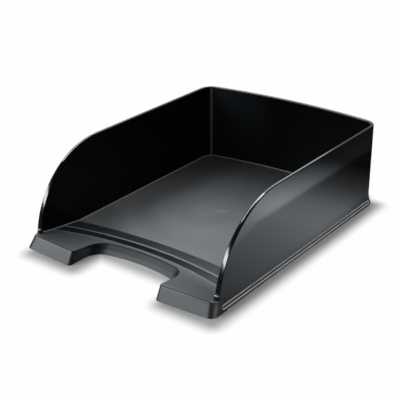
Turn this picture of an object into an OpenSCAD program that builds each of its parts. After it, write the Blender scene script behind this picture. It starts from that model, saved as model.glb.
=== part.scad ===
// Deep letter tray: one thin plastic moulding, open at the front, made to stack.
// Millimetres. +X is to the right, +Y to the back and +Z up.
// The origin is on the table, under the middle of the tray's outside box.
// The moulding is drawn as the walls, rims and panels that it is built from.
// They meet face to face along its own edges.

/* [Overall size] */
// Width across the outsides of the side walls
wall_w = 249; // [200:1:320]
// Depth over the base, from the feet of the lips to the back skirt
depth = 352; // [300:1:420]
// Height of the rim above the table
height = 101; // [70:1:140]

/* [Moulding] */
// Thickness of the walls, the floor and the lip
wall_t = 2.4; // [1.6:0.1:3.2]
// Gap between the table and the underside of the floor
floor_gap = 1.2; // [0.8:0.1:4]

/* [Bowed back] */
// Plan radius of the bowed back wall
back_r = 676; // [400:1:1500]
// Outside radius of the upright back corners
corner_r = 18; // [12:0.5:40]

/* [Rim] */
// Width of the rim along the top edges
rim_w = 4; // [3.5:0.1:6]
// Width of the rim at the foot of the front sweep
rim_foot_w = 6.2; // [4:0.1:8]
// Thickness of the rim
rim_t = 2.2; // [1.5:0.1:4]
// Radius of the sweep that brings a side wall down to the front
sweep_r = 102; // [60:1:140]
// Length of the ledge at the foot of the sweep
ledge_len = 4.6; // [2:0.1:8]
// Height of that ledge above the front of the lip
ledge_rise = 4.9; // [2:0.1:10]

/* [Front ramp] */
// Length of the first slope, up from the floor
slope_1_len = 18.6; // [12:0.1:30]
// Height that the first slope gains
slope_1_rise = 3.2; // [1.5:0.1:5]
// Length of the second slope
slope_2_len = 14.3; // [10:0.1:25]
// Height that the second slope gains
slope_2_rise = 2.3; // [1.5:0.1:5]
// Width of the level tread at the top of each slope
tread = 2.2; // [1:0.1:4]
// Plan radius of the floor's front edge
floor_edge_r = 667; // [350:1:1500]
// Plan radius of the first tread
tread_1_r = 455; // [300:1:1500]
// Plan radius of the second tread
tread_2_r = 373; // [250:1:1500]

/* [Front lip] */
// Length of the lip, from its foot back to the second tread
lip_len = 61.2; // [52:0.1:90]
// Height that the top of the lip gains towards the front
lip_rise = 5.5; // [2:0.1:10]
// How far the foot of the lip stands out beyond its top edge
lip_lean = 7.2; // [2:0.1:12]
// Plan radius of the lip's front top edge
lip_top_r = 1282; // [600:1:3000]
// Plan radius of the lip's foot
lip_foot_r = 1515; // [600:1:3000]
// Radius of the lip's outer corners
lip_corner_r = 8; // [4:0.5:14]

/* [Finger notch] */
// Width of the finger notch
notch_w = 117; // [80:1:150]
// Depth of the notch along the table
notch_len = 48.5; // [30:0.5:50]
// Lean of the notch's wall from upright, in degrees
notch_lean = 45; // [20:1:50]
// Radius of the bowed back of the notch
notch_bow_r = 283; // [150:1:600]
// Radius of the notch's back corners
notch_corner_r = 16; // [8:0.5:24]
// Gap between the notch's wall and the lip that it stands under
seat_gap = 0.1; // [0.05:0.05:0.3]

/* [Base] */
// How far the skirt at the base stands out from the walls
flare = 3.5; // [2:0.1:6]
// Height at which the skirt leaves the wall
flare_z = 13; // [9:0.5:14]
// Width of the skirt's foot
skirt_t = 2.5; // [1.5:0.1:3]
// Height of the groove behind the skirt, which takes the rim of the tray below
groove_z = 4; // [2:0.1:6]
// Lower edge of the side rails
rail_z = 3.2; // [1:0.1:5]
// Height of the side rails
rail_h = 3.8; // [2:0.1:4]
// Distance from the lip's foot back to the front end of the side rails
rail_set = 20; // [14:1:60]

/* [Hidden] */
$fn = 96;
gloss = "#17181a";
satin = "#2b2d2f";
margin = 1;
sheet = 0.01;

// Heights, from the table up
floor_z = floor_gap + wall_t;
tread_1_z = floor_z + slope_1_rise;
tread_2_z = tread_1_z + slope_2_rise;
lip_z = tread_2_z + lip_rise;
ledge_z = lip_z + ledge_rise;

// The plan of the walls
half_w = wall_w / 2;
front_y = -depth / 2;
back_y = depth / 2 - flare;
back_cy = back_y - back_r;
corner_x = half_w - corner_r;
corner_y = back_cy + sqrt(pow(back_r - corner_r, 2) - pow(corner_x, 2));
corner_turn = atan2(corner_y - back_cy, corner_x);

// The arcs across the front, each given by where it crosses the middle
lip_foot_y = front_y - arc_fall(notch_w / 2, lip_foot_r);
tread_2_y = lip_foot_y + lip_len;
tread_1_y = tread_2_y + slope_2_len;
floor_edge_y = tread_1_y + slope_1_len;
lip_top_y = lip_foot_y + lip_lean;

function arc_fall(x, r) = r - sqrt(r * r - x * x);
function floor_edge_at(x) = floor_edge_y - arc_fall(x, floor_edge_r);
function tread_1_at(x) = tread_1_y - arc_fall(x, tread_1_r);
function tread_2_at(x) = tread_2_y - arc_fall(x, tread_2_r);
function lip_top_at(x) = lip_top_y + arc_fall(x, lip_top_r);
function lip_foot_at(x) = lip_foot_y + arc_fall(x, lip_foot_r);

// The leaning front face, at any place across the tray and any height
function lip_face_at(x, z) = lip_foot_at(x) + (lip_top_at(x) - lip_foot_at(x)) * z / lip_z;
function end_face(z) = lip_face_at(half_w, z);

// The sweep of the side walls, which ends on the ledge
sweep_cz = height - sweep_r;
ledge_back_y = end_face(ledge_z) + ledge_len;
sweep_cy = ledge_back_y + sqrt(pow(sweep_r, 2) - pow(max(0, ledge_z - sweep_cz), 2));

// How far the skirt stands out at a height
function flare_at(z) = flare * max(0, 1 - z / flare_z);

// A plan shape with straight sides, a bowed back edge and round back corners
module bowed_plan(half, bow_r, round_r, apex_y, front) {
    bow_y = apex_y - bow_r;
    round_x = half - round_r;
    round_y = bow_y + sqrt(pow(bow_r - round_r, 2) - pow(round_x, 2));
    touch_x = round_x * bow_r / (bow_r - round_r);
    intersection() {
        translate([0, bow_y]) circle(bow_r, $fn = 360);
        translate([-touch_x, front]) square([2 * touch_x, apex_y - front + margin]);
    }
    for (side = [-1, 1])
        translate([side * round_x, round_y]) circle(round_r);
    translate([-half, front]) square([2 * half, round_y - front]);
}

// The plan of the walls' outside, set in
module inset_plan(inset) {
    bowed_plan(half_w - inset, back_r - inset, corner_r - inset, back_y - inset, front_y);
}

// Sections are drawn with x as the distance out from the walls' outside and y as the height.
// These three modules carry a section along a side, round a back corner and along the back.
module along_side(from_y, to_y) {
    translate([half_w, to_y, 0]) rotate([90, 0, 0]) linear_extrude(to_y - from_y) children();
}

module round_corner() {
    translate([corner_x, corner_y, 0]) rotate_extrude(angle = corner_turn)
        translate([corner_r, 0]) children();
}

module along_back() {
    translate([0, back_cy, 0]) rotate([0, 0, corner_turn])
        rotate_extrude(angle = 180 - 2 * corner_turn, $fn = 360)
            translate([back_r, 0]) children();
}

// A side view, drawn with x as the tray's Y and y as its Z, made into a plate
module side_plate(from_x, to_x) {
    translate([from_x, 0, 0]) rotate([90, 0, 90]) linear_extrude(to_x - from_x) children();
}

module on_side(side) {
    if (side < 0) mirror([1, 0, 0]) children();
    else children();
}

// Closed solid through a row of sections across the tray, each a list of [y, z] points
module loft(stations, sections) {
    count = len(sections[0]);
    last = len(stations) - 1;
    points = [for (i = [0:last]) for (p = sections[i]) [stations[i], p[0], p[1]]];
    skin = [for (i = [0:last - 1]) for (j = [0:count - 1])
        let (k = (j + 1) % count, a = i * count, b = a + count)
        each [[a + j, b + k, a + k], [a + j, b + j, b + k]]];
    first_cap = [[for (j = [0:count - 1]) j]];
    last_cap = [[for (j = [0:count - 1]) last * count + count - 1 - j]];
    polyhedron(points, concat(skin, first_cap, last_cap));
}

// Places across the tray at which the arched pieces are drawn
stations = 24;
lip_xs = [for (i = [0:stations]) (half_w - wall_t) * (2 * i / stations - 1)];

// Lines of [y, z] points from back to front, lowered by drop
function ramp_line(x, drop) = [
    [floor_edge_at(x), floor_z - drop],
    [tread_1_at(x) + tread / 2, tread_1_z - drop],
    [tread_1_at(x) - tread / 2, tread_1_z - drop],
    [tread_2_at(x) + tread / 2, tread_2_z - drop],
    [tread_2_at(x), tread_2_z - drop]];

function lip_line(x, drop) = [
    [tread_2_at(x), tread_2_z - drop],
    [tread_2_at(x) - tread / 2, tread_2_z - drop],
    [lip_face_at(x, lip_z - drop) + drop, lip_z - drop],
    [lip_face_at(x, 0) + drop, 0]];

function reversed(list) = [for (i = [len(list) - 1:-1:0]) list[i]];

// The lip filled in, down to the table
module lip_block() {
    loft(lip_xs, [for (x = lip_xs) concat([[tread_2_at(x), 0]], lip_line(x, 0))]);
}

// Leaning cutter for the finger notch, grown by the thickness of its wall
module notch_cut(grow) {
    reach = depth / 2;
    translate([0, lip_foot_y + notch_len, 0]) rotate([-notch_lean, 0, 0])
        translate([0, 0, -notch_len]) linear_extrude(2 * notch_len)
            bowed_plan(notch_w / 2 + grow, notch_bow_r + grow, notch_corner_r + grow, grow, -reach);
}

// What is left of a square when one of its corners is rounded
module round_quarter(r) {
    circle(r);
    translate([-3 * r, -r]) square([3 * r, 4 * r]);
    translate([-3 * r, 0]) square([4 * r, 3 * r]);
}

module corner_slice(z) {
    translate([half_w + flare_at(z) - lip_corner_r, end_face(z) + lip_corner_r, z])
        linear_extrude(sheet) round_quarter(lip_corner_r, $fn = 32);
}

// Cutter that rounds the right front corner from the table up to the ledge
module corner_trim() {
    difference() {
        translate([half_w - lip_corner_r, front_y - margin, -margin])
            cube([2 * lip_corner_r, lip_corner_r + end_face(ledge_z) - front_y, ledge_z + margin]);
        hull() {
            corner_slice(-margin);
            corner_slice(flare_z);
        }
        hull() {
            corner_slice(flare_z);
            corner_slice(ledge_z + margin);
        }
    }
}

// Side view of a wall above its ledge, set in from its top and front edges
module sweep_outline(inset) {
    translate([sweep_cy, ledge_z])
        square([corner_y - sweep_cy, height - inset - ledge_z]);
    intersection() {
        translate([sweep_cy, sweep_cz]) circle(sweep_r - inset, $fn = 360);
        translate([sweep_cy - sweep_r, max(ledge_z, sweep_cz)]) square([sweep_r + margin, height]);
    }
    if (sweep_cz > ledge_z)
        translate([sweep_cy - sweep_r + inset, ledge_z])
            square([sweep_r - inset + margin, sweep_cz - ledge_z]);
}

module wall_outline() {
    sweep_outline(0);
    polygon([[end_face(floor_gap), floor_gap], [corner_y, floor_gap], [corner_y, ledge_z],
        [end_face(ledge_z), ledge_z]]);
}

module side_wall() {
    color(gloss) difference() {
        side_plate(half_w - wall_t, half_w) wall_outline();
        corner_trim();
    }
}

// The rim stands inwards from the wall and widens towards the front
module side_rim() {
    inner_x = half_w - rim_foot_w;
    color(gloss) difference() {
        side_plate(inner_x, half_w - wall_t) difference() {
            sweep_outline(0);
            sweep_outline(rim_t);
        }
        translate([0, corner_y + margin, 0]) rotate([90, 0, 0])
            linear_extrude(depth) polygon([[inner_x - margin, ledge_z], [inner_x, ledge_z],
                [half_w - rim_w, height], [half_w - rim_w, height + margin],
                [inner_x - margin, height + margin]]);
    }
}

// A low curb stands on the lip and carries the foot of the rim
module side_curb() {
    color(gloss) difference() {
        side_plate(half_w - rim_foot_w, half_w - wall_t)
            polygon([[end_face(tread_2_z), tread_2_z], [end_face(ledge_z), ledge_z],
                [ledge_back_y + rim_t, ledge_z], [ledge_back_y + rim_t, tread_2_z]]);
        lip_block();
        corner_trim();
    }
}

module wall_section() {
    translate([-wall_t, floor_gap]) square([wall_t, height - floor_gap]);
}

module skirt_section() {
    polygon([[0, groove_z], [flare - skirt_t, 0], [flare, 0], [0, flare_z]]);
}

// The rail lies on the slope of the skirt and is as proud as the skirt's foot
module rail_section() {
    top = rail_z + rail_h;
    polygon([[flare_at(rail_z), rail_z], [flare, rail_z], [flare, top], [flare_at(top), top]]);
}

module side_skirt() {
    color(gloss) difference() {
        along_side(front_y, corner_y) skirt_section();
        side_plate(half_w - margin, half_w + flare + margin)
            polygon([[front_y - margin, -margin], [end_face(-margin), -margin],
                [end_face(ledge_z), ledge_z], [front_y - margin, ledge_z]]);
        corner_trim();
    }
}

// A half-round front end closes the rail
module side_rail() {
    start_y = front_y + rail_set;
    color(gloss) intersection() {
        along_side(start_y, corner_y) rail_section();
        side_plate(half_w, half_w + flare + margin) {
            translate([start_y + rail_h / 2, rail_z + rail_h / 2]) circle(rail_h / 2);
            translate([start_y + rail_h / 2, rail_z]) square([depth, rail_h]);
        }
    }
}

module floor_panel() {
    edge = [for (x = lip_xs) [x, floor_edge_at(x)]];
    color(satin) translate([0, 0, floor_gap]) linear_extrude(wall_t) intersection() {
        inset_plan(wall_t);
        polygon(concat(edge, [[half_w, back_y], [-half_w, back_y]]));
    }
}

module front_ramp() {
    color(satin) loft(lip_xs, [for (x = lip_xs)
        concat(ramp_line(x, 0), reversed(ramp_line(x, wall_t)))]);
}

// Top and leaning front face of the lip, with the finger notch cut through both
module front_lip() {
    color(satin) difference() {
        loft(lip_xs, [for (x = lip_xs)
            concat(lip_line(x, 0), reversed(lip_line(x, wall_t)))]);
        notch_cut(0);
        for (side = [-1, 1])
            on_side(side) corner_trim();
    }
}

// The wall round the notch stands just under the top of the lip and behind its face
module notch_wall() {
    reach_x = notch_w / 2 + wall_t;
    color(satin) intersection() {
        side_plate(-reach_x - margin, reach_x + margin)
            polygon(concat([[floor_edge_y, 0], [floor_edge_y, tread_2_z - wall_t - seat_gap]],
                lip_line(reach_x, wall_t + seat_gap)));
        difference() {
            notch_cut(wall_t);
            notch_cut(0);
        }
    }
}

module back_wall() {
    color(gloss) along_back() wall_section();
}

module corner() {
    color(gloss) round_corner() wall_section();
}

// The back rim runs round both corners
module back_rim() {
    color(gloss) translate([0, 0, height - rim_t]) linear_extrude(rim_t) difference() {
        inset_plan(wall_t);
        inset_plan(rim_w);
        translate([-half_w, front_y]) square([wall_w, corner_y - front_y]);
    }
}

module back_skirt() {
    color(gloss) along_back() skirt_section();
}

module corner_skirt() {
    color(gloss) round_corner() skirt_section();
}

floor_panel();
front_ramp();
front_lip();
notch_wall();
on_side(-1) side_wall();  // left_wall
side_wall();  // right_wall
back_wall();
on_side(-1) corner();  // left_corner
corner();  // right_corner
on_side(-1) side_rim();  // left_rim
side_rim();  // right_rim
back_rim();
on_side(-1) side_skirt();  // left_skirt
side_skirt();  // right_skirt
back_skirt();
on_side(-1) corner_skirt();  // left_corner_skirt
corner_skirt();  // right_corner_skirt
on_side(-1) side_rail();  // left_rail
side_rail();  // right_rail
on_side(-1) side_curb();  // left_curb
side_curb();  // right_curb
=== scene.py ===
# %% [markdown]
# # A deep letter tray in black plastic
# The tray is one thin injection moulding: a floor, a wall on three sides, and a low lip with a finger
# notch at the open front. The packed solids give its main sizes. This lesson gives the moulding its
# rounded edges and its black finishes, and stands it on a pale table in soft light. The drawing is in
# millimetres and Blender works in metres, so MM stands between the two.

# %% Load the packed tray
import math
from collections import Counter, namedtuple

import bmesh
import bpy
from mathutils import Matrix, Vector


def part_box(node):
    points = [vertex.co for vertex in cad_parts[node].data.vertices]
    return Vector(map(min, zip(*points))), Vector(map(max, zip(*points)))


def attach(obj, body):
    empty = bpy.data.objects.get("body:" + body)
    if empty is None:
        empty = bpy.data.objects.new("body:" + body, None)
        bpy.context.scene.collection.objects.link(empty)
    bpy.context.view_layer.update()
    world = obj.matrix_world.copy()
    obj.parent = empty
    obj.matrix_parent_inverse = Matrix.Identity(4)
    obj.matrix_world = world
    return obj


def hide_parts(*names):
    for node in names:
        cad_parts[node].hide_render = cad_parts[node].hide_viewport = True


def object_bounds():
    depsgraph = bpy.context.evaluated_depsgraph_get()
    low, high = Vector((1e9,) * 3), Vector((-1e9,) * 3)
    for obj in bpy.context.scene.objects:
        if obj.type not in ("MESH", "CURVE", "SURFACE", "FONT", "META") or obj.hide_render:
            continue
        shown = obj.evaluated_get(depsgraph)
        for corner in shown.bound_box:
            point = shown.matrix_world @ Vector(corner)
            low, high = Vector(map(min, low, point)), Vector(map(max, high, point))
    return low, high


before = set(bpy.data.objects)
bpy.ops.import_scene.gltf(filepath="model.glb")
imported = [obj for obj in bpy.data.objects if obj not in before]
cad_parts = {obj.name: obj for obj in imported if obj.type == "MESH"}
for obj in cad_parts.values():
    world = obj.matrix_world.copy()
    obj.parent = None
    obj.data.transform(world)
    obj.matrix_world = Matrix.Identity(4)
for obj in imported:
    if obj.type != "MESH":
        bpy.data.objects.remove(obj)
packed_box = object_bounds()
MM = 0.001
print("packed solids:", len(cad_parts))
print("packed box in mm:", [[round(c / MM, 1) for c in corner] for corner in packed_box])

# %% [markdown]
# ## Sizes
# A drawing of a moulding starts with its outside sizes. They could be typed in, but then they might
# drift from the solids, so they are read from the boxes of the packed solids. Radii and small
# sizes aren't in any box, so each is written down once, where it is first needed.

# %% Outside sizes in millimetres
def edge(node, end, axis):
    """One side of a solid's box: end 0 is its low side, end 1 its high side."""
    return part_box(node)[end]["xyz".index(axis)] / MM


half_w = edge("right_wall", 1, "x")
wall_t = half_w - edge("right_wall", 0, "x")
inner_w = half_w - wall_t
height = edge("right_wall", 1, "z")
flare = edge("right_skirt", 1, "x") - half_w
floor_gap = edge("floor_panel", 0, "z")
floor_z = edge("floor_panel", 1, "z")
lip_z = edge("front_lip", 1, "z")
front_y = packed_box[0].y / MM
corner_y = edge("right_corner", 0, "y")
back_y = edge("back_wall", 1, "y")
print("half width", round(half_w, 2), "wall", round(wall_t, 2), "lip height", round(lip_z, 2))

# %% The bow of the back and its round corners
back_r, corner_r = 676, 18
corner_x = half_w - corner_r
back_cy = back_y - back_r
corner_turn = math.degrees(math.atan2(corner_y - back_cy, corner_x))
print("corner centre", round(corner_x, 2), round(corner_y, 2), "turn", round(corner_turn, 2))

# %% [markdown]
# ## The arcs across the front
# Five arcs cross the real tray between the floor and the table. Three bow to the back: the floor's
# front edge and two narrow treads. Two bow to the front: the lip's top edge and its foot. Curves could
# be drawn for them, but each is a circle, so one function of how far a circle falls away will do.

# %% Arcs
floor_edge_r, tread_1_r, tread_2_r, lip_top_r, lip_foot_r = 667, 455, 373, 1282, 1515
notch_half, lip_deep, slope_2_deep, slope_1_deep, lip_run = 58.5, 61.2, 14.3, 18.6, 7.2
tread_1_rise, tread_2_rise = 3.2, 5.5
to_back, to_front = -1, 1


def fall(x, r):
    return r - math.sqrt(r * r - x * x)


def bowed(middle_y, r, way):
    """An arc across the tray, as a function that gives its y at any x."""
    return lambda x: middle_y + way * fall(x, r)


lip_foot_y = front_y - fall(notch_half, lip_foot_r)
tread_2_y = lip_foot_y + lip_deep
tread_1_y = tread_2_y + slope_2_deep
floor_edge_y = tread_1_y + slope_1_deep
tread_1_z, tread_2_z = floor_z + tread_1_rise, floor_z + tread_2_rise
floor_edge = bowed(floor_edge_y, floor_edge_r, to_back)
tread_1 = bowed(tread_1_y, tread_1_r, to_back)
tread_2 = bowed(tread_2_y, tread_2_r, to_back)
lip_top = bowed(lip_foot_y + lip_run, lip_top_r, to_front)
lip_foot = bowed(lip_foot_y, lip_foot_r, to_front)
print("floor edge", round(floor_edge_y, 2), "treads", round(tread_1_y, 2), round(tread_2_y, 2))

# %% [markdown]
# ## Drawing with one vertex
# Most walls of the tray have one section all along. Such a wall can be bent from a box, but here it
# starts as on a drawing board, with a point. A plane is merged to one vertex, which is extruded into
# a line, and a spin turns it into an arc. The same extrude and spin then carry a whole section along
# a wall or round a corner, so that every arc is a true one.

# %% Put the pen down and draw
def mm(*values):
    return Vector(values) * MM


def pick_all():
    bpy.ops.mesh.select_all(action="SELECT")


def name_and_edit(name):
    """Name the primitive that was just added, and go to edit mode."""
    piece = bpy.context.object
    piece.name = piece.data.name = name
    bpy.ops.object.mode_set(mode="EDIT")
    return piece


def pen_down(name, point):
    """Start a new piece with one vertex."""
    bpy.ops.object.select_all(action="DESELECT")
    bpy.ops.mesh.primitive_plane_add(size=MM)
    piece = name_and_edit(name)
    pick_all()
    bpy.ops.mesh.merge(type="CENTER")
    bpy.ops.transform.translate(value=mm(*point))
    return piece


def drawing():
    return bmesh.from_edit_mesh(bpy.context.object.data)


def draw_to(*points):
    for point in points:
        here = next(v.co for v in drawing().verts if v.select)
        bpy.ops.mesh.extrude_region_move(TRANSFORM_OT_translate={"value": mm(*point) - here})


def carry(*shift):
    bpy.ops.mesh.extrude_region_move(TRANSFORM_OT_translate={"value": mm(*shift)})


def turn(degrees, centre, axis, steps):
    """Spin by the right-hand rule. Blender's own angle runs the other way."""
    bpy.ops.mesh.spin(steps=steps, angle=-math.radians(degrees), center=mm(*centre), axis=axis)


print("one step of the pen:", mm(1, 0, 0).length, "m")

# %% [markdown]
# ## Picking and closing
# By hand, a corner is picked with a click. In a script it is picked by its place, so a small test on
# the middle of each vertex, edge or face does the clicking. A finished drawing is welded, its faces
# are turned outwards, and it is smoothed everywhere but at its sharp edges.

# %% Pick parts of a drawing
same_place = 0.02


def near(a, b):
    return abs(a - b) < same_place


def pick(kind, test):
    """Select the vertices, edges or faces whose middle, in millimetres, passes the test."""
    bpy.ops.mesh.select_mode(type=kind)
    bpy.ops.mesh.select_all(action="DESELECT")
    mesh = drawing()
    for part in {"VERT": mesh.verts, "EDGE": mesh.edges, "FACE": mesh.faces}[kind]:
        corners = [part] if kind == "VERT" else part.verts
        part.select = test(sum((v.co for v in corners), Vector()) / len(corners) / MM)
    mesh.select_flush_mode()
    bmesh.update_edit_mesh(bpy.context.object.data)


print("two places within", same_place, "mm count as one")

# %% Close a drawing
weld = 0.002 * MM


def tell(piece):
    """Print how many faces a piece has, and how many of its edges don't lie between two faces."""
    sides = Counter(key for face in piece.data.polygons for key in face.edge_keys)
    open_edges = sum(count != 2 for count in sides.values())
    print(piece.name, len(piece.data.polygons), "faces,", open_edges, "open edges")


def smooth_piece(angle):
    bpy.ops.object.mode_set(mode="OBJECT")
    bpy.ops.object.shade_smooth_by_angle(angle=math.radians(angle))
    return bpy.context.object


def pen_up(angle=40):
    """Weld the drawing, turn its faces outwards and smooth all but its sharp edges."""
    bpy.ops.mesh.select_mode(type="VERT")
    pick_all()
    bpy.ops.mesh.remove_doubles(threshold=weld)
    bpy.ops.mesh.normals_make_consistent(inside=False)
    piece = smooth_piece(angle)
    even = piece.modifiers.new("even", "WEIGHTED_NORMAL")
    even.keep_sharp = True
    bpy.ops.object.modifier_apply(modifier=even.name)
    tell(piece)


print("points within", weld / MM, "mm are welded")

# %% [markdown]
# ## The back
# The real back bows out a little, its two corners are round, a narrow rim stiffens its top edge and a
# flared skirt widens its foot. A curve with a bevel profile could follow that path, but one section
# that is spun round the first corner, along the bowed back and round the second corner gives true
# arcs with no seam between them. The skirt leaves the wall in a soft curve, so its outside is
# drawn with a few points of a parabola.

# %% The section of the back
rim_w, rim_t = 4.0, 2.2
rim_under = height - rim_t
skirt_heights = [0.5, 2, 4, 6, 8, 10, 12, lip_z]
skirt_hollow = 4
foot_in, foot_out = half_w + 1, half_w + 3


def skirt_x(z):
    return half_w + flare * max(0, 1 - z / lip_z) ** 2


skirt_outside = [(skirt_x(z), z) for z in skirt_heights]
section = skirt_outside + [
    (half_w, height), (half_w - rim_w, height), (half_w - rim_w, rim_under), (inner_w, rim_under),
    (inner_w, floor_gap), (half_w, floor_gap), (half_w, skirt_hollow), (foot_in, 0), (foot_out, 0)]
print("points in the section of the back:", len(section))

# %% Round the rim of a section and close its loop
rim_rounds = [(half_w, height, 0.9, 6), (half_w - rim_w, height, 1.7, 6),
              (half_w - rim_w, rim_under, 0.6, 3)]


def fill():
    """Join two selected vertices by an edge, or fill a selected loop with a face."""
    bpy.ops.mesh.edge_face_add()


def close_section():
    """Join the two ends of a section that starts and stops at the skirt's foot."""
    pick("VERT", lambda p: near(p.z, skirt_heights[0]) or (near(p.z, 0) and near(p.x, foot_out)))
    fill()


def round_rim():
    """Round the rim's free edges, each by its own reach."""
    for x, z, reach, steps in rim_rounds:
        pick("VERT", lambda p: near(p.x, x) and near(p.z, z))
        bpy.ops.mesh.bevel(offset=reach * MM, segments=steps, affect="VERTICES")


back = pen_down("tray_back", (section[0][0], corner_y, section[0][1]))
draw_to(*[(x, corner_y, z) for x, z in section[1:]])
close_section()
round_rim()
print("points in the rounded section:", len(drawing().verts))

# %% Spin the section round the back and close its ends
upright = (0, 0, 1)


def round_the_back():
    """Spin what is selected round the right corner, along the bowed back and round the left corner."""
    turn(corner_turn, (corner_x, corner_y, 0), upright, steps=16)
    turn(180 - 2 * corner_turn, (0, back_cy, 0), upright, steps=32)
    turn(corner_turn, (-corner_x, corner_y, 0), upright, steps=16)


pick_all()
round_the_back()
fill()
pick("EDGE", lambda p: near(p.y, corner_y) and p.x > 0)
fill()
pen_up()

# %% [markdown]
# ## The side walls
# Each real side wall runs level from the back and then sweeps down to the front in a quarter circle.
# The rim follows that edge and widens to the front. A flat wall with a curved cut would need a rim
# of its own and a seam. So the rim's section is carried forward and spun down about the middle of the
# sweep, and the wall is pulled straight down from the rim's two lower edges and flattened on the
# level of the floor, which keeps wall and rim one skin.

# %% Where the sweep lies
sweep_r, ledge_len, ledge_rise, ear_rise = 102, 4.6, 4.9, 3.4
ledge_z, foot_z = lip_z + ledge_rise, lip_z + ear_rise
sweep_cz = height - sweep_r


def end_face(z):
    """Where the leaning front of the lip is at the walls."""
    return lip_foot(half_w) + (lip_top(half_w) - lip_foot(half_w)) * z / lip_z


ledge_back = end_face(ledge_z) + ledge_len
sweep_cy = ledge_back + math.sqrt(sweep_r ** 2 - (ledge_z - sweep_cz) ** 2)
sweep_turn = 90 - math.degrees(math.asin((foot_z - sweep_cz) / sweep_r))
print("sweep centre", round(sweep_cy, 2), round(sweep_cz, 2), "turned", round(sweep_turn, 1))

# %% Carry the rim along the wall and down the sweep
side = pen_down("tray_right_side", (half_w, corner_y, rim_under))
draw_to((half_w, corner_y, height), (half_w - rim_w, corner_y, height),
        (half_w - rim_w, corner_y, rim_under), (inner_w, corner_y, rim_under))
round_rim()
pick_all()
carry(0, sweep_cy - corner_y, 0)
turn(sweep_turn, (0, sweep_cy, sweep_cz), (1, 0, 0), steps=40)
print("points in the rim:", len(drawing().verts))

# %% Pull the wall down from the rim
def under_rim(p, x):
    """Whether a point is on the rim's lower edge at that x."""
    straight = near(p.z, rim_under) and p.y > sweep_cy - 0.1
    reach = math.hypot(p.y - sweep_cy, p.z - sweep_cz)
    swept = p.y < sweep_cy and abs(reach - sweep_r + rim_t) < 0.08
    return near(p.x, x) and (straight or swept)


first_drop = 5
for x in (half_w, inner_w):
    pick("EDGE", lambda p: under_rim(p, x))
    carry(0, 0, -first_drop)
    bpy.ops.transform.resize(value=(1, 1, 0), center_override=mm(0, 0, floor_gap))
pick("EDGE", lambda p: near(p.z, floor_gap))
bpy.ops.mesh.bridge_edge_loops()
print("points in rim and wall:", len(drawing().verts))

# %% Close the wall's ends and widen the rim to the front
rim_foot_w = 6.2


def close_end(at_back):
    """Fill the open loop of edges at one end of the wall."""
    bpy.ops.mesh.select_mode(type="EDGE")
    bpy.ops.mesh.select_all(action="DESELECT")
    for line in drawing().edges:
        behind = line.verts[0].co.y + line.verts[1].co.y > 0
        line.select = line.is_boundary and behind == at_back
    bmesh.update_edit_mesh(bpy.context.object.data)
    fill()


close_end(at_back=True)
close_end(at_back=False)
for v in drawing().verts:
    if v.co.x < (inner_w - 0.5) * MM:
        share = max(0, min(1, (height - v.co.z / MM - rim_t) / (height - ledge_z)))
        v.co.x -= (rim_foot_w - rim_w) * math.sqrt(share) * MM
pen_up()

# %% [markdown]
# ## The lip and its notch
# The real lip is a hollow step. Its top, its rounded edge and its leaning faces are one skin that
# bends twice, along the tray's front and round the notch. Extruded piece by piece, it would crease at
# each corner, so the vertices of a grid are moved to their places instead. Columns run along the
# edge, from the notch's middle to the tray's side and mirrored, and rows run over it to the table.

# %% Points along an edge
tread, notch_len = 2.2, 48.5


def spread(a, b, count):
    """Evenly spaced numbers from a to b."""
    return [a + (b - a) * i / count for i in range(count + 1)]


def ray(degrees):
    return math.cos(math.radians(degrees)), math.sin(math.radians(degrees))


def arc(centre, r, start, stop, count):
    """Points on a circle, each with its angle."""
    return [(centre[0] + r * ray(a)[0], centre[1] + r * ray(a)[1], a) for a in spread(start, stop, count)]


def lip_height(x, y):
    """Height of the lip's top, which rises evenly from the second tread to the front edge."""
    start = tread_2(x) - tread / 2
    return tread_2_z + (lip_z - tread_2_z) * (start - y) / (start - lip_top(x))


def notch_top(x, y):
    """The notch's wall leans back at 45 degrees, so its top lies as far back as it is high.

    Height and place depend on each other, and a few rounds settle both.
    """
    z = 10.0
    for _ in range(6):
        z = lip_height(x, y + z)
    return (x, y + z, z)


print("height of the notch's middle:", round(notch_top(0, lip_foot_y + notch_len)[2], 2))

# %% The edge round the notch
# Each place holds its top, its foot, its outward direction, the x of its partner on the second tread,
# and how far it has come round the corner to the tray's side.
Place = namedtuple("Place", "top foot out partner sideways")
notch_bow_r, notch_corner_r, notch_edge_r = 283, 16, 4.0
lean = ray(45)[0]
notch_y = lip_foot_y + notch_len
round_x = notch_half - notch_corner_r
round_v = math.sqrt((notch_bow_r - notch_corner_r) ** 2 - round_x ** 2) - notch_bow_r
bow_turn = math.degrees(math.atan2(round_v + notch_bow_r, round_x))
partner_pull, partner_step = 4, 1.8

edge_line = []
for x, v, angle in arc((0, -notch_bow_r), notch_bow_r, 90, bow_turn, 14):
    y, (c, s) = notch_y + v / lean, ray(angle)
    edge_line.append(Place(notch_top(x, y), (x, y), (-c, -s), x, 0))
for x, v, angle in arc((round_x, round_v), notch_corner_r, bow_turn, 0, 14)[1:]:
    y, (c, s) = notch_y + v / lean, ray(angle)
    out = Vector((-c, -s * lean)).normalized()
    partner = x + partner_pull * (x - round_x) / notch_corner_r
    edge_line.append(Place(notch_top(x, y), (x, y), tuple(out), partner, 0))

side_x = notch_half + notch_edge_r
tops = spread(edge_line[-1].top[1], lip_top(side_x) + notch_edge_r, 8)[1:]
feet = spread(edge_line[-1].foot[1], lip_foot(side_x) + notch_edge_r, 8)[1:]
for i, (t, f) in enumerate(zip(tops, feet), 1):
    top = (notch_half, t, lip_height(notch_half, t))
    partner = notch_half + partner_pull + partner_step * i
    edge_line.append(Place(top, (notch_half, f), (-1, 0), partner, 0))
print("columns from the notch's middle to its mouth:", len(edge_line))

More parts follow.
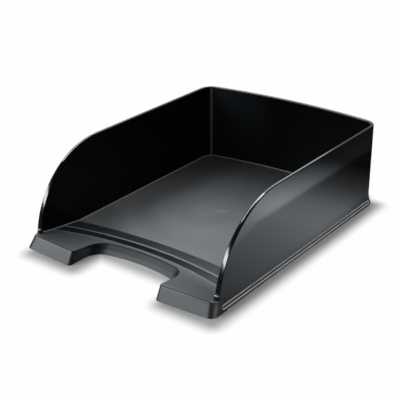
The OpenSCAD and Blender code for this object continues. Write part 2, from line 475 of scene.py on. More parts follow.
# %% The edge along the front and round the corner
mouth_partner, front_partner, corner_partner, wall_partner = 77, 85, 117, 122
lip_corner_r, lip_end_y = 8.0, -148
corner_top, corner_foot = half_w - lip_corner_r, half_w + flare - lip_corner_r


def between(a, b, share):
    return a + (b - a) * share


for i in range(1, 9):
    c, s = ray(180 + 90 * i / 8)
    x, dy = side_x + notch_edge_r * c, notch_edge_r * (1 + s)
    t = lip_top(side_x) + dy
    partner = between(mouth_partner, front_partner, i / 8)
    edge_line.append(Place((x, t, lip_height(x, t)), (x, lip_foot(side_x) + dy), (c, s), partner, 0))
for i in range(1, 17):
    t, f = between(side_x, corner_top, i / 16), between(side_x, corner_foot, i / 16)
    partner = between(front_partner, corner_partner, i / 16)
    edge_line.append(Place((t, lip_top(t), lip_z), (f, lip_foot(f)), (0, -1), partner, 0))
for i in range(1, 13):
    c, s = ray(270 + 90 * i / 12)
    dx, dy = lip_corner_r * c, lip_corner_r * (1 + s)
    t, f = lip_top(corner_top) + dy, lip_foot(corner_foot) + dy
    top = (corner_top + dx, t, lip_height(corner_top, t))
    partner = between(corner_partner, wall_partner, i / 12)
    edge_line.append(Place(top, (corner_foot + dx, f), (c, s), partner, i / 12))
for i, t in enumerate(spread(edge_line[-1].top[1], lip_end_y, 4)[1:], 1):
    top = (half_w, t, lip_height(half_w, t))
    edge_line.append(Place(top, (half_w + flare, t), (1, 0), inner_w, 1 + i / 4))
edge_line = [Place((-p.top[0], *p.top[1:]), (-p.foot[0], p.foot[1]), (-p.out[0], p.out[1]),
                   -p.partner, p.sideways) for p in edge_line[:0:-1]] + edge_line
print("columns along the lip's edge:", len(edge_line))

# %% Rows from the second tread over the edge to the table
top_rows, edge_rows, face_rows = 8, 5, 8
edge_r = 1.1


def lip_column(place):
    """The points of one column."""
    top, foot, out = Vector(place.top), Vector((*place.foot, 0)), Vector((*place.out, 0))
    start = Vector((place.partner, tread_2(place.partner) - tread / 2, tread_2_z))
    face_top = top.z - edge_r

    def face(z):
        share = 1 - z / top.z
        share += (max(0, 1 - z / lip_z) ** 2 - share) * max(0, place.sideways - 1)
        return Vector((*(top.lerp(foot, share)).xy, z))

    points = []
    for i in range(top_rows):
        p = start.lerp(top - out * edge_r, i / (top_rows - 1))
        points.append(Vector((p.x, p.y, lip_height(p.x, p.y))))
    inset, end = points[-1], face(face_top)
    for q in spread(0, 1, edge_rows)[1:]:
        points.append(inset * (1 - q) ** 2 + top * 2 * q * (1 - q) + end * q * q)
    return points + [face(face_top * (1 - q)) for q in spread(0, 1, face_rows)[1:]]


lip_points = [lip_column(place) for place in edge_line]
print("rows on the lip:", len(lip_points[0]))

# %% [markdown]
# ## How polished each part of the lip is, and where light is painted on it
# On the real lip the top and the front are grained, and the notch and the round corners are polished
# dark. The thin edge between top and front is painted black, a painted dark line. Separate materials
# would leave hard borders between them, so each vertex keeps one number in an attribute named
# polish, and the finish reads it. Above 0 is polished, 2 is the painted dark edge, and below
# 0 is a paler grey of painted light: painted highlights, and a paler left half of the lip.

# %% Polish and painted light of the lip
top_painted_light, front_painted_light, notch_polish, edge_polish = 0.3, 0.9, 0.3, 2.0
glint_at, glint_width, glint_paint = 0.7, 0.16, 2.2


def corner_polish(sideways, on_edge):
    """Round the lip's corner, painted highlights: the dark edge turns pale, and a pale stripe is painted on
    the face.
    """
    if on_edge:
        return edge_polish - min(1, 3 * sideways) * (2 + 3 * math.sin(math.pi * sideways))
    painted_glint = glint_paint * math.exp(-((sideways - glint_at) / glint_width) ** 2)
    return min(0.6, 2 * sideways) - painted_glint


def lip_polish(column, row):
    place = edge_line[column]
    x = place.top[0]
    on_edge = row < top_rows + edge_rows - 1
    if row < top_rows:
        # The left half of the lip's top is painted paler, a painted light.
        return min(0, top_painted_light * x / half_w)
    if place.sideways > 1:
        return 1.0
    if place.sideways:
        return corner_polish(place.sideways, on_edge)
    if on_edge:
        # The thin edge between top and front is painted black, a painted dark line.
        return edge_polish
    if abs(x) < side_x - 0.5:
        inward = max(0, -place.out[0] * math.copysign(1, x))
        return notch_polish + max(0, inward - notch_polish)
    # The left half of the lip's front is painted paler, a painted light.
    return min(0, front_painted_light * x / half_w)


print("polish of the notch's middle:", lip_polish(len(edge_line) // 2, top_rows + edge_rows))

# %% Place the grid on the lip and give it a wall
def skin(name, columns, rows, place, polish):
    """A grid whose vertices are each moved to their place and given their polish and painted light, by
    column and row.
    """
    bpy.ops.object.select_all(action="DESELECT")
    bpy.ops.mesh.primitive_grid_add(x_subdivisions=columns - 1, y_subdivisions=rows - 1, size=1)
    mesh = bpy.context.object.data
    shine_and_paint = mesh.attributes.new("polish", "FLOAT", "POINT")
    for v in mesh.vertices:
        column, row = round((v.co.x + 0.5) * (columns - 1)), round((v.co.y + 0.5) * (rows - 1))
        v.co = mm(*place(column, row))
        shine_and_paint.data[v.index].value = polish(column, row)
    return name_and_edit(name)


def face_up():
    """Turn an open skin so that its faces look up and out."""
    pick_all()
    if sum(f.normal.z * f.calc_area() for f in drawing().faces) < 0:
        bpy.ops.mesh.flip_normals()


def thicken(thickness, angle):
    """Give a skin its wall, cut it off at the table and smooth it."""
    bpy.ops.object.mode_set(mode="OBJECT")
    piece = bpy.context.object
    wall = piece.modifiers.new("wall", "SOLIDIFY")
    wall.thickness, wall.offset = thickness * MM, -1
    bpy.ops.object.modifier_apply(modifier=wall.name)
    for v in piece.data.vertices:
        v.co.z = max(v.co.z, 0)
    tell(smooth_piece(angle))


lip_t = 1.6
lip = skin("tray_lip", len(lip_points), len(lip_points[0]), lambda c, r: lip_points[c][r], lip_polish)
face_up()
thicken(lip_t, angle=40)

# %% [markdown]
# ## The ramp
# Two shallow slopes climb from the real floor to the lip, each with a narrow level tread at its top.
# The slopes are polished dark, and the treads are painted pale, painted highlights for the two thin
# lines of light. The floor's front edge and the end of the second tread get a painted pale line too. A
# folded plane would have straight bends, but each bend here is an arc of its own, so the rows of a grid
# follow the arcs.
# Rows close to each bend keep the change of polish sharp.

# %% Place the grid on the ramp
# border_polish paints a pale line at the floor's edge and the second tread's end, a painted highlight.
ramp_columns, bend_gap, border_polish = 97, 0.02, -1
notch_shade_w = 62


def ramp_bends(x):
    """The y and z of the ramp's five bends at x, from the floor's edge to the second tread."""
    half = tread / 2
    return [(floor_edge(x), floor_z), (tread_1(x) + half, tread_1_z), (tread_1(x) - half, tread_1_z),
            (tread_2(x) + half, tread_2_z), (tread_2(x) - half, tread_2_z)]


def ramp_column(x):
    """The points of one column, each with its polish."""
    bends = ramp_bends(x)
    by_notch = max(0, 1 - (x / notch_shade_w) ** 2)
    # First slope and tread, then second slope and tread.
    # The treads are painted pale, painted highlights, and the second one only away from the notch's middle.
    shines_and_paint = [0.6, -1.3, 0.9 + 0.12 * x / inner_w, 1.25 * by_notch - 0.9]
    points = [(x, *bends[0], border_polish)]
    for (y0, z0), (y1, z1), shine_and_paint in zip(bends, bends[1:], shines_and_paint):
        points += [(x, between(y0, y1, t), between(z0, z1, t), shine_and_paint) for t in (bend_gap, 1 - bend_gap)]
    return points + [(x, *bends[-1], border_polish)]


ramp_points = [ramp_column(inner_w * x) for x in spread(-1, 1, ramp_columns - 1)]
ramp = skin("tray_ramp", ramp_columns, len(ramp_points[0]), lambda c, r: ramp_points[c][r][:3],
            lambda c, r: ramp_points[c][r][3])
face_up()
thicken(wall_t, angle=4)

# %% [markdown]
# ## The floor
# The real floor is a flat plate that fills the plan inside the walls. It could be cut from a plane,
# but the pen already knows the way round the back, so the outline is drawn with it, filled and
# extruded down by the thickness of the plastic.

# %% Draw the floor
front_corner_y = floor_edge(inner_w)
front_turn = 2 * math.degrees(math.asin(inner_w / floor_edge_r))
floor = pen_down("tray_floor", (inner_w, front_corner_y, floor_z))
draw_to((inner_w, corner_y, floor_z))
round_the_back()
draw_to((-inner_w, front_corner_y, floor_z))
turn(-front_turn, (0, floor_edge_y - floor_edge_r, 0), upright, steps=96)
pick_all()
bpy.ops.mesh.remove_doubles(threshold=0.01 * MM)
pick_all()
fill()
carry(0, 0, -wall_t)
pen_up()

# %% [markdown]
# ## The fillet at the foot of the walls
# Where the real walls meet the floor, the ramp and the lip, the mould is rounded. The thin pale line
# along it is a painted highlight. A bevel would do if walls and floor were one mesh. As they are
# separate pieces, a slim fillet is laid between them: a grid that follows the inside of the walls from
# one end of the lip to the other, at the height of what it lies on.

# %% The line inside the walls
fillet_front = -154


def inside_line():
    """Points round the inside of the walls, each with its direction into the tray."""
    ramp_end = floor_edge(inner_w) + 4
    side_ys = spread(fillet_front, ramp_end, 60) + spread(ramp_end, corner_y, 6)[1:]
    right = [(inner_w, y, -1, 0) for y in side_ys]
    round_part = arc((corner_x, corner_y), corner_r - wall_t, 0, corner_turn, 16)[1:]
    bowed_part = arc((0, back_cy), back_r - wall_t, corner_turn, 90, 16)[1:]
    right += [(x, y, -ray(a)[0], -ray(a)[1]) for x, y, a in round_part + bowed_part]
    return right + [(-x, y, -dx, dy) for x, y, dx, dy in right[-2::-1]]


def ground(x, y):
    """Height of the lip, the ramp or the floor under a point beside the wall."""
    line = [(lip_top(x), lip_z)] + ramp_bends(x)[::-1]
    for (y0, z0), (y1, z1) in zip(line, line[1:]):
        if y <= y1:
            return between(z0, z1, (y - y0) / (y1 - y0))
    return floor_z


inside = inside_line()
print("places along the fillet:", len(inside))

# %% Run the fillet round the inside
# The fillet is painted pale, a painted highlight.
fillet_r, fillet_lift, fillet_polish = 1.0, 0.01, -2.2
bend = [(fillet_r * (1 - math.sin(a)), fillet_r * (1 - math.cos(a))) for a in spread(0, math.pi / 2, 6)]
loop = bend + [(0, 0), bend[0]]


def fillet_place(column, row):
    x, y, dx, dy = inside[column]
    off, rise = loop[row]
    return (x + dx * off, y + dy * off, ground(min(abs(x), inner_w), y) + rise + fillet_lift)


fillet = skin("tray_fillet", len(inside), len(loop), fillet_place, lambda c, r: fillet_polish)
pick_all()
bpy.ops.mesh.remove_doubles(threshold=weld)
for end in (1, -1):
    pick("EDGE", lambda p: p.y < fillet_front + 0.05 and p.x * end > 0)
    fill()
pen_up(angle=50)

# %% [markdown]
# ## The ear
# A low ear stands on each real lip at the foot of the sweep, where the rim ends. It has one round
# corner and a softened top edge. A bevelled cube would round all its corners, so its plan is drawn
# with the pen, filled and extruded up, leaning back a little, and only its top edge is bevelled.

# %% Model the ear
ear_low, ear_r, ear_lean, ear_soft = 9.5, 3.4, 1.0, 0.4
ear_in, ear_out = half_w - rim_foot_w + 0.6, half_w - 0.05
ear_front, ear_back = ledge_back - 3.0, ledge_back + rim_t
ear = pen_down("tray_right_ear", (ear_in, ear_back, ear_low))
draw_to((ear_in, ear_front, ear_low), (ear_out - ear_r, ear_front, ear_low))
turn(90, (ear_out - ear_r, ear_front + ear_r, 0), upright, steps=10)
draw_to((ear_out, ear_back, ear_low))
pick_all()
fill()
carry(0, ear_lean, foot_z - ear_low)
pick("EDGE", lambda p: p.z > foot_z - 0.2)
bpy.ops.mesh.bevel(offset=ear_soft * MM, segments=3, affect="EDGES")
pen_up()

# %% [markdown]
# ## The skirt
# The flared foot of the back goes on along both sides, and the real tray stands on it. The back's
# whole section would bring a second wall along, so only its outside is drawn again, closed just
# inside the wall and extruded to the front.

# %% Model the skirt
skirt_in, skirt_front = half_w - 0.2, -149
skirt = pen_down("tray_right_skirt", (skirt_outside[0][0], corner_y, skirt_outside[0][1]))
draw_to(*[(x, corner_y, z) for x, z in skirt_outside[1:]])
draw_to((skirt_in, corner_y, lip_z), (skirt_in, corner_y, skirt_hollow), (foot_in, corner_y, 0),
        (foot_out, corner_y, 0))
close_section()
pick_all()
fill()
carry(0, skirt_front - corner_y, 0)
pen_up()

# %% [markdown]
# ## The rail
# A bead with a groove along its face lies on each real skirt, and its front end is round. Its face
# leans with the skirt. It could be drawn with the pen too, but a box is quicker for a shape that is
# straight all along: its front end is rounded by a bevel, its face is inset and pushed in for the
# groove, and then all its points are slid inwards, the more the higher they are.

# %% Model the rail
rail_low, rail_high = edge("right_rail", 0, "z"), edge("right_rail", 1, "z")
rail_front, rail_face = edge("right_rail", 0, "y"), half_w + flare
rail_deep, rail_lean, rail_end_r, rail_soft = 3.4, 1.2, 1.85, 0.25
groove_edge, groove_deep = 1.05, 0.8
rail_mid = (rail_face - rail_deep / 2, (corner_y + rail_front) / 2, (rail_low + rail_high) / 2)
bpy.ops.object.select_all(action="DESELECT")
bpy.ops.mesh.primitive_cube_add(size=1, scale=mm(rail_deep, corner_y - rail_front, rail_high - rail_low),
                                location=mm(*rail_mid))
bpy.ops.object.transform_apply(location=True, rotation=True, scale=True)
rail = name_and_edit("tray_right_rail")
pick("EDGE", lambda p: near(p.x, rail_mid[0]) and near(p.y, rail_front))
bpy.ops.mesh.bevel(offset=rail_end_r * MM, segments=8, affect="EDGES")
pick("FACE", lambda p: near(p.x, rail_face))
bpy.ops.mesh.inset(thickness=groove_edge * MM)
bpy.ops.transform.translate(value=mm(-groove_deep, 0, 0))
pick("EDGE", lambda p: p.x > rail_face - same_place)
bpy.ops.mesh.bevel(offset=rail_soft * MM, segments=2, affect="EDGES")
for v in drawing().verts:
    v.co.x -= rail_lean * (v.co.z - rail_low * MM) / (rail_high - rail_low)
pen_up(angle=30)

# %% [markdown]
# ## The left side
# The real tray is the same on both sides. A Mirror modifier would join them in one mesh, but each is
# a piece of its own, so the four right-hand pieces are duplicated and scaled by -1 across the tray.
# That turns a mesh inside out, so its normals are worked out again.

# %% Mirror copies for the left
def mirror_copy(piece):
    bpy.ops.object.select_all(action="DESELECT")
    piece.select_set(True)
    bpy.context.view_layer.objects.active = piece
    bpy.ops.object.duplicate()
    bpy.context.object.scale.x = -1
    bpy.ops.object.transform_apply(location=True, rotation=True, scale=True)
    twin = name_and_edit(piece.name.replace("right", "left"))
    pen_up()
    return twin


left_side, left_ear, left_skirt, left_rail = [mirror_copy(piece) for piece in (side, ear, skirt, rail)]

# %% [markdown]
# ## Shader maths
# Wear, dust and shadow are masks, and a mask is arithmetic on places, which a shader gets in metres. In
# the shader editor each sum takes a Math node. Here a socket is wrapped in a small class, so that a
# mask is written as a sum in Python and the Math nodes add themselves. Any other node comes from one
# method, and the most common ones have a short name.

# %% A socket that can be added and multiplied
class Val:
    """A node's output. Arithmetic on it adds Math nodes to its tree."""

    def __init__(self, tree, socket):
        self.tree, self.socket = tree, socket

    def math(self, operation, other=0.0, swap=False):
        a, b = (other, self) if swap else (self, other)
        return self.tree.add("ShaderNodeMath", {"operation": operation}, {0: a, 1: b})

    def __add__(self, other):
        return self.math("ADD", other)

    def __mul__(self, other):
        return self.math("MULTIPLY", other)

    def __sub__(self, other):
        return self.math("SUBTRACT", other)

    def __rsub__(self, other):
        return self.math("SUBTRACT", other, swap=True)

    __radd__, __rmul__ = __add__, __mul__


def length(first, *others):
    """How long a way is that runs so far along each axis."""
    square = first * first
    for leg in others:
        square = square + leg * leg
    return square.math("POWER", 0.5)


print("operators of a socket: +, - and *")

# %% A node tree that nodes are added to
class Finish:
    """The node tree of a material or of the world."""

    def __init__(self, owner, shader="Principled BSDF"):
        owner.use_nodes = True
        self.owner, self.nodes, self.links = owner, owner.node_tree.nodes, owner.node_tree.links
        self.shader = self.nodes[shader]

    def plug(self, target, value):
        if isinstance(value, Val):
            self.links.new(value.socket, target)
        else:
            target.default_value = value

    def add(self, kind, settings=None, inputs=None, output=0):
        """Add any node, with its settings and the values or links of its sockets."""
        node = self.nodes.new(kind)
        for key, value in (settings or {}).items():
            setattr(node, key, value)
        for key, value in (inputs or {}).items():
            self.plug(node.inputs[key], value)
        return Val(self, node.outputs[output])

    def set(self, **values):
        for key, value in values.items():
            self.plug(self.shader.inputs[key.replace("_", " ")], value)

    def axes(self, vector):
        node = self.add("ShaderNodeSeparateXYZ", {}, {0: vector}).socket.node
        return [Val(self, node.outputs[axis]) for axis in "XYZ"]

    def line(self, value, start, stop, low=0.0, high=1.0, kind="LINEAR"):
        """Low before start, high after stop, and a straight line between them."""
        return self.add("ShaderNodeMapRange", {"interpolation_type": kind}, {
            "Value": value, "From Min": start, "From Max": stop, "To Min": low, "To Max": high})

    def ease(self, value, start, stop, low=0.0, high=1.0):
        """As line, but with a soft start and stop."""
        return self.line(value, start, stop, low, high, "SMOOTHSTEP")

    def noise(self, vector, scale, detail, distortion=0.0):
        return self.add("ShaderNodeTexNoise", {}, {
            "Vector": vector, "Scale": scale, "Detail": detail, "Distortion": distortion})

    def mix(self, factor, a, b, clamp=True):
        return self.add("ShaderNodeMix", {"data_type": "RGBA", "clamp_factor": clamp},
                        {"Factor": factor, 6: a, 7: b}, 2)

    def bump(self, height_map, distance):
        return self.add("ShaderNodeBump", {}, {"Height": height_map, "Strength": 1.0, "Distance": distance})


print("methods of a finish:", [name for name in vars(Finish) if not name.startswith("_")])

# %% [markdown]
# ## Gloss black
# The outside of the real walls and their rims were polished in the mould, so they mirror the table
# and the lamps. A perfectly smooth shader would look like glass, so one soft noise varies the
# roughness, and another bends the surface by hundredths of a millimetre. On the lower sweep, where
# hands take hold, the rim is a little rougher. The colour is the same all over.

# %% Black polystyrene
BLACK = (0.002, 0.002, 0.002, 1)


def black_plastic(name, mirroring):
    """Black polystyrene, and the place of each point on it."""
    finish = Finish(bpy.data.materials.new(name))
    finish.set(IOR=1.6, Specular_IOR_Level=mirroring)
    return finish, finish.add("ShaderNodeTexCoord", output="Object")


print("black plastic starts from", BLACK[:3])

# %% Gloss black
gloss, place = black_plastic("gloss_plastic", 0.6)
_, along, up = gloss.axes(place)
from_y, from_z = along - sweep_cy * MM, up - sweep_cz * MM
on_rim = gloss.ease(length(from_y, from_z), (sweep_r - 2.0) * MM, (sweep_r - 1.0) * MM)
handled = on_rim * gloss.line(from_y, -0.05, -0.08)
cloud = gloss.noise(place, 14.0, 3.0)
wave = gloss.noise(place, 40.0, 2.0)
gloss.set(Base_Color=BLACK, Roughness=0.05 + cloud * 0.05 + handled * 0.08, Normal=gloss.bump(wave, 0.00002))
print(gloss.owner.name, len(gloss.nodes), "nodes")

# %% [markdown]
# ## Inside black
# The inside of the real walls is deep black, since it hardly mirrors anything. A second material with a
# lower specular level gives that without any change to the light. In each round back corner a pale
# upright line is painted, a painted highlight. It is a mask on the distance from that line. The left
# half of the back is a slightly paler grey.

# %% Inside black
inside_coat, place = black_plastic("inside_plastic", 0.12)
corner_highlight_turn, corner_highlight_grey, pale_back_grey = 52, (0.09, 0.095, 0.1, 1), (0.011, 0.0135, 0.015, 1)
inner_r = corner_r - wall_t
across, along, _ = inside_coat.axes(place)
from_x = across.math("ABSOLUTE") - (corner_x + inner_r * ray(corner_highlight_turn)[0]) * MM
from_y = along - (corner_y + inner_r * ray(corner_highlight_turn)[1]) * MM
# painted highlight: a pale upright line in each round back corner
corner_highlight = inside_coat.ease(length(from_x, from_y), 0.0008, 0.0022, 1.0, 0.0)
# The left half of the back is a slightly paler grey.
paler_left = inside_coat.line(across, -0.02, -0.10) * inside_coat.line(from_y, -0.002, 0.001)
dark = inside_coat.mix(paler_left, BLACK, pale_back_grey)
cloud = inside_coat.noise(place, 14.0, 3.0)
inside_coat.set(Base_Color=inside_coat.mix(corner_highlight, dark, corner_highlight_grey), Roughness=0.2 + cloud * 0.1)
print(inside_coat.owner.name, len(inside_coat.nodes), "nodes")

# %% [markdown]
# ## Satin black
# Floor, ramp and lip of the real tray have a fine grain that was eroded into the mould. The floor is
# painted paler towards the front and on the left, a painted light and shade in place of the light and
# reflections there, and flow marks run out from the gate, the spot where the plastic entered the mould.
# An image could hold all this, but it would stretch and would need a UV map, so it is built from
# noises and masks on the place of each point: grain, painted light, streaks and rings.

# %% Grain, polish and painted floor light
satin, place = black_plastic("satin_plastic", 0.46)
across, along, up = satin.axes(place)
grain = satin.noise(place, 1300.0, 2.0)
mottle = satin.noise(place, 380.0, 3.0)
cloud = satin.noise(place, 10.0, 4.0)
polish = satin.add("ShaderNodeAttribute", {"attribute_name": "polish"}, output="Fac")
# painted light and shade: the floor is darker at the back and paler towards the front and on the left
painted_floor_light = satin.ease(along, 0.13, -0.06) * satin.line(across, -0.065, 0.04, 1.42, 0.60)
on_floor = satin.line(up, 0.0041, 0.0037) * satin.line(along, -0.14, -0.13)
print("haze and grain:", len(satin.nodes), "nodes")

# %% Flow marks round the gate
gate_x, gate_y = -0.0025, 0.0246
oval_turn = 0.65


def oval(x, y, long, short):
    """A soft oval mark on the floor, turned across the tray."""
    spot = satin.add("ShaderNodeMapping", {"vector_type": "TEXTURE"}, {
        "Vector": place, "Location": (x, y, 0), "Rotation": (0, 0, oval_turn), "Scale": (long, short, 1)})
    flat = satin.add("ShaderNodeVectorMath", {"operation": "MULTIPLY"}, {0: spot, 1: (1, 1, 0)})
    far = satin.add("ShaderNodeVectorMath", {"operation": "LENGTH"}, {0: flat}, "Value")
    return satin.ease(far, 0.1, 1.2, 1.0, 0.0)


stretched = satin.add("ShaderNodeMapping", {}, {"Vector": place, "Scale": (160, 14, 1)})
streaks = satin.noise(stretched, 1.0, 2.0)
centred = satin.add("ShaderNodeMapping", {"vector_type": "TEXTURE"}, {
    "Vector": place, "Location": (gate_x, gate_y, 0)})
rings = satin.add("ShaderNodeTexWave", {"wave_type": "RINGS", "rings_direction": "Z"}, {
    "Vector": centred, "Scale": 7.0, "Distortion": 3.0, "Detail": 2.0, "Detail Scale": 1.5}, "Fac")
marbling = satin.noise(place, 32.0, 3.0, 0.8)
flow = 0.30 + 0.5 * streaks + 0.28 * rings + 0.4 * marbling
gate = oval(gate_x, gate_y, 0.011, 0.0055) - oval(0.0095, 0.0075, 0.026, 0.0150) * 0.45
print("flow marks:", len(satin.nodes), "nodes")

# %% [markdown]
# ## Putting the satin together
# Each mark could be a material of its own, but then borders would show, so one material mixes them all.
# Wear, flow marks and painted light make a spot a paler grey, a polished spot is nearly black and
# smoother, and the lip's edge is painted black and made rough, a painted dark line that mirrors no
# lamp. The top of the right lip is a little rougher and painted darker, a painted shade.
# Grain is a bump, and it fades where the plastic is polished.

# %% Satin black
plain_grey, wear_and_light_grey = (0.051, 0.0555, 0.0585, 1), (0.112, 0.120, 0.126, 1)
polished_black, painted_shade_black = (0.004, 0.004, 0.004, 1), (0.01, 0.011, 0.012, 1)
# painted light: the pale grey of the painted highlights and of the paler left lip
painted_pale = (0 - polish).math("MAXIMUM")
wear_and_light = on_floor * (painted_floor_light * flow + gate) + painted_pale + mottle * 0.4 - 0.15
shine_and_paint = polish.math("MAXIMUM")
# painted shade: the right lip's top is painted darker, and it is made rougher
dull_and_shaded = satin.line(across, 0.0, 0.12) * satin.line(along, -0.168, -0.162) * satin.line(up, 0.0095, 0.011)
shade = satin.mix(wear_and_light.math("MAXIMUM"), plain_grey, wear_and_light_grey, clamp=False)
shade = satin.mix(shine_and_paint, shade, polished_black)
shade = satin.mix(dull_and_shaded * 0.45, shade, painted_shade_black)
smoother, edge_rough = shine_and_paint.math("MINIMUM", 1.0) * 0.26, (shine_and_paint - 1).math("MAXIMUM") * 0.5
grain_left = (1 - shine_and_paint * 1.5).math("MAXIMUM")
satin.set(Base_Color=shade, Roughness=0.38 + cloud * 0.1 - smoother + edge_rough + dull_and_shaded * 0.2,
          Normal=satin.bump(grain_left * grain, 0.00007))
print(satin.owner.name, len(satin.nodes), "nodes")

# %% [markdown]
# ## Black with painted highlights
# Rails and ears stick out, and their edges catch thin lines of light, which are painted here as pale
# grey highlights. Edges can be found with the Pointiness of the geometry, but that changes with the
# mesh. Here the painted highlight lies where the piece is proudest: on both sides of the rail's groove,
# on the rail's top and on the top of the ear. On the left rail it is far weaker.

# %% Black with painted highlights
edge_highlights, place = black_plastic("highlight_plastic", 0.6)
highlight_grey = (0.62, 0.62, 0.63, 1)
across, _, up = edge_highlights.axes(place)
proud = across.math("ABSOLUTE") + (up - rail_low * MM) * (rail_lean / (rail_high - rail_low))
crest = edge_highlights.ease(proud, (rail_face - 0.75) * MM, (rail_face - 0.4) * MM)
rail_top = edge_highlights.line(up, (rail_high - 0.35) * MM, (rail_high - 0.1) * MM)
below_ear = edge_highlights.line(up, 0.009, 0.008)
ear_top = edge_highlights.line(up, (foot_z - 0.4) * MM, (foot_z - 0.1) * MM)
right_hand = edge_highlights.line(across, -0.1, 0.1, 0.25, 1.0)
highlight_noise = edge_highlights.noise(place, 60.0, 4.0)
# painted highlights: pale lines on the rail's crests and top and on the ear's top
painted_highlight = (crest.math("MAXIMUM", rail_top) * below_ear * right_hand + ear_top * 0.8) * (0.7 + 0.5 * highlight_noise)
edge_highlights.set(Base_Color=edge_highlights.mix(painted_highlight, BLACK, highlight_grey), Roughness=0.32 + painted_highlight * 0.15)
print(edge_highlights.owner.name, len(edge_highlights.nodes), "nodes")

# %% [markdown]
# ## Dressing the pieces
# Each piece takes its finish and rides on the tray's one body. Walls have two finishes, and the
# inside one goes on the faces that look into the tray. Then the solids that the pieces stand for are
# hidden.

# %% Finishes and bodies
gloss_pieces = [back, side, left_side, ear, left_ear, skirt, left_skirt, rail, left_rail]
highlight_pieces = [ear, left_ear, rail, left_rail]
satin_pieces = [floor, ramp, lip, fillet]
for piece in gloss_pieces + satin_pieces:
    coat = gloss if piece in gloss_pieces else satin
    piece.data.materials.clear()
    piece.data.materials.append(edge_highlights.owner if piece in highlight_pieces else coat.owner)
    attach(piece, "root")
for piece in (back, side, left_side):
    piece.data.materials.append(inside_coat.owner)
    for face in piece.data.polygons:
        middle, out = face.center / MM, face.normal
        looks_out = out.x * middle.x / half_w + out.y * max(0, middle.y) / back_y
        if looks_out < -0.5:
            face.material_index = 1
print("dressed pieces:", len(gloss_pieces + satin_pieces))

# %% Solids that the pieces stand for
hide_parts("back_wall", "left_corner", "right_corner", "back_rim", "back_skirt",
            "left_corner_skirt", "right_corner_skirt")
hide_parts("right_wall", "right_rim")
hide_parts("left_wall", "left_rim")
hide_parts("right_curb")
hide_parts("left_curb")
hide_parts("right_skirt")
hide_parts("left_skirt")
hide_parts("right_rail")
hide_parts("left_rail")
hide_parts("floor_panel")
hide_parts("front_ramp")
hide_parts("front_lip", "notch_wall")
print("solids still shown:", sum(not node.hide_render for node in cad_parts.values()))

# %% [markdown]
# ## The table and its reflection
# The tray stands on a pale sheet that runs out to white. Black gloss shows little but what it mirrors,
# and a plain white table would fill the walls with one flat grey. So glossy rays see a pool of light
# on the table, which fades to the front and back and has a bright band a hand's width off the tray.

# %% The pool of light that the walls mirror
bpy.ops.object.select_all(action="DESELECT")
bpy.ops.mesh.primitive_plane_add(size=12)
table = bpy.context.object
table.name = "table"
pale = Finish(bpy.data.materials.new("pale_table"))
spot = pale.add("ShaderNodeTexCoord", output="Object")
spot_x, spot_y, _ = pale.axes(spot)
pool = pale.ease(spot_y, 0.06, 0.26, 1.0, 0.03) * pale.line(spot_y, 0.06, -0.17, 1.0, 0.12)
beside = spot_x.math("ABSOLUTE") + pale.line(spot_y, 0.03, -0.10, 0.0, 0.030)
band = pale.ease(beside, 0.203, 0.208, 0.0, 0.9) * pale.ease(beside, 0.21, 0.26, 1.0, 0.3)
band = band * pale.ease(spot_y, -0.02, 0.09, 0.3, 1.0) * pale.ease(spot_y, 0.12, 0.19, 1.0, 1.35)
pool = pool * (pale.ease(spot_y, 0.10, 0.19, 0.85, 0.45) + band)
pool_colour = pale.add("ShaderNodeVectorMath", {"operation": "SCALE"}, {0: (0.92, 1, 1.07), "Scale": pool})
print("pool of light:", len(pale.nodes), "nodes")

# %% [markdown]
# ## The table and its shadow
# A studio sheet is lit until it is white, and only a narrow soft shadow stays round the tray. More light
# would burn out the tray as well. So camera rays see plain white away from the tray, and near it the
# grey table with its real shadow shows through, so this shadow is partly real and partly painted by
# the masks. Two masks say where that is: one for the shadow that is thrown to the right and the front,
# and a narrow one along the tray's left foot. In front of the tray the table is a darker grey, a
# painted shadow.

# %% Where the shadow shows
tray_half, nearly_white = rail_face * MM, 0.985


def past_tray(slip_x, slip_y, shrink, front, rear, margin):
    """How far a spot lies outside the tray's plan, which may be shifted and shrunk."""
    out_x, out_y = (spot_x - slip_x).math("ABSOLUTE"), spot_y - slip_y
    past_side = (out_x - (tray_half - shrink)).math("MAXIMUM")
    past_end = (out_y - rear).math("MAXIMUM", front - out_y).math("MAXIMUM")
    notch_side, notch_back = notch_half * MM + margin - out_x, notch_y * MM + margin - out_y
    in_notch = notch_side.math("MINIMUM", notch_back).math("MAXIMUM")
    return length(past_side, past_end, in_notch)


past_thrown = past_tray(slip_x=0.010, slip_y=-0.009, shrink=0.008, front=-0.168, rear=0.16, margin=0.0035)
past_foot = past_tray(slip_x=-0.012, slip_y=0.0, shrink=0.006, front=-0.125, rear=0.168, margin=0.02)
thrown = pale.ease(past_thrown, 0.0, 0.022, 0.0, nearly_white)
touching = pale.ease(past_foot, 0.0, 0.012, 0.0, nearly_white)
whiteness = thrown.math("MINIMUM", touching)
print("shadow masks:", len(pale.nodes), "nodes")

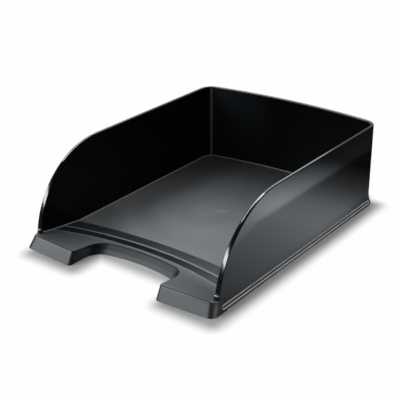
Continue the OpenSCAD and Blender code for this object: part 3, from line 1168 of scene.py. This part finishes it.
# %% Table
# The table in front of the tray is a darker grey, a painted shadow.
front_shadow_grey, table_grey = (0.41, 0.4, 0.395, 1), (0.5, 0.487, 0.482, 1)
pale.set(Base_Color=pale.mix(pale.ease(spot_y, -0.17, -0.10), front_shadow_grey, table_grey), Roughness=1.0,
         Specular_IOR_Level=0.0)
camera_ray = pale.add("ShaderNodeLightPath", output="Is Camera Ray")
glossy_ray = pale.add("ShaderNodeLightPath", output="Is Glossy Ray")
white = pale.add("ShaderNodeEmission", {}, {"Color": (1, 1, 1, 1), "Strength": 1.0})
pool_light = pale.add("ShaderNodeEmission", {}, {"Color": pool_colour, "Strength": 1.0})
lit = Val(pale, pale.shader.outputs[0])
seen = pale.add("ShaderNodeMixShader", {}, {0: camera_ray * whiteness, 1: lit, 2: white})
seen = pale.add("ShaderNodeMixShader", {}, {0: glossy_ray, 1: seen, 2: pool_light})
pale.plug(pale.nodes["Material Output"].inputs["Surface"], seen)
table.data.materials.append(pale.owner)
print(pale.owner.name, len(pale.nodes), "nodes")

# %% [markdown]
# ## Lamps
# A bare lamp would show in black plastic as one hot spot, so large soft boxes are used, whose edges
# draw the rims. The key lamp stands low at the front left and lights the lip's faces. A wide box
# behind on the left lights the floor and the level rims. A slim card high up on the left draws the
# bright line on the sweep. It is only there to be mirrored, so it gives no diffuse light.

# %% Lamps
lamp_tint = (0.93, 1.0, 1.06)


def softbox(name, direction, distance, width, tall, watts):
    """An area lamp that looks at the tray from a direction."""
    bpy.ops.object.light_add(type="AREA")
    lamp = bpy.context.object
    lamp.name = name
    lamp.data.shape = "RECTANGLE"
    lamp.data.size, lamp.data.size_y = width, tall
    lamp.data.energy = watts
    lamp.data.color = lamp_tint
    aim = Vector(direction).normalized()
    lamp.location = aim * distance
    lamp.rotation_euler = (-aim).to_track_quat("-Z", "Y").to_euler()
    print(name, "at", [round(c, 2) for c in lamp.location])
    return lamp


softbox("key_light", (-0.75, -1.12, 0.60), distance=1.6, width=1.05, tall=0.36, watts=13.6)
softbox("left_softbox", (-0.54, 0.52, 0.66), distance=1.6, width=1.2, tall=1.0, watts=7.2)
rim_card = softbox("rim_card", (-0.547, 0.16, 0.82), distance=1.55, width=1.1, tall=0.38, watts=9.4)
rim_card.visible_diffuse = False

# %% [markdown]
# ## The room
# A picture of a studio is often wrapped round a scene. Here sums on the direction do the same. The
# room is white to the camera. As light it is plain and soft, and stronger from behind. In the gloss
# it would again be one flat grey, so glossy rays see a glow that is strong low down at the back left
# and fades upwards, and a second, lower one at the back right.

# %% The room's light
world = bpy.data.worlds.new("studio")
bpy.context.scene.world = world
sky = Finish(world, "Background")
sideways, backward, rise = sky.axes(sky.add("ShaderNodeTexCoord", output="Generated"))
glow = sky.ease(rise, 0.52, 0.92, 0.45, 0.03)
glow = glow * sky.ease(backward, -0.4, 0.1, 0.1) * sky.ease(sideways, 0.3, -0.2, 0.1)
glow = glow + 0.4 * sky.ease(rise, 0.32, 0.12) * sky.ease(backward, 0.2, 0.5) * sky.ease(sideways, 0.1, 0.4)
room_fill = 0.71 * (1 + backward * 0.95)
camera_ray = sky.add("ShaderNodeLightPath", output="Is Camera Ray")
glossy_ray = sky.add("ShaderNodeLightPath", output="Is Glossy Ray")
level = camera_ray + glossy_ray * glow + (1 - camera_ray) * (1 - glossy_ray) * room_fill
room_tint = sky.mix(glossy_ray, (1, 1, 1, 1), (0.92, 1, 1.07, 1))
sky.set(Color=sky.add("ShaderNodeVectorMath", {"operation": "SCALE"}, {0: room_tint, "Scale": level}))
print(world.name, len(sky.nodes), "nodes")

# %% [markdown]
# ## The camera
# The view is from the front right and from above, with a long lens. A camera can be aimed with a
# constraint, but the tilt of the horizon would be lost. So its three axes are worked out from how
# far it turns, tips and rolls, and are written into its matrix.

# %% Camera
cam_data = bpy.data.cameras.new("camera")
camera = bpy.data.objects.new("camera", cam_data)
bpy.context.scene.collection.objects.link(camera)
bpy.context.scene.camera = camera
cam_data.sensor_width = 36
cam_data.lens = 83.1
cam_place = mm(572.2, -778.9, 475.5)
yaw, pitch, roll = 37.09, 24.85, -0.46
(yaw_c, yaw_s), (pitch_c, pitch_s), (roll_c, roll_s) = ray(yaw), ray(pitch), ray(roll)
ahead = Vector((-yaw_s * pitch_c, yaw_c * pitch_c, -pitch_s))
level_right = Vector((yaw_c, yaw_s, 0))
level_up = level_right.cross(ahead)
right, upward = level_right * roll_c + level_up * roll_s, level_up * roll_c - level_right * roll_s
axes = [(right[i], upward[i], -ahead[i], cam_place[i]) for i in range(3)]
camera.matrix_world = Matrix(axes + [(0, 0, 0, 1)])
bpy.context.scene.view_settings.view_transform = "Standard"
print("camera at", [round(c, 3) for c in cam_place], "lens", cam_data.lens)

# %% [markdown]
# ## Closing
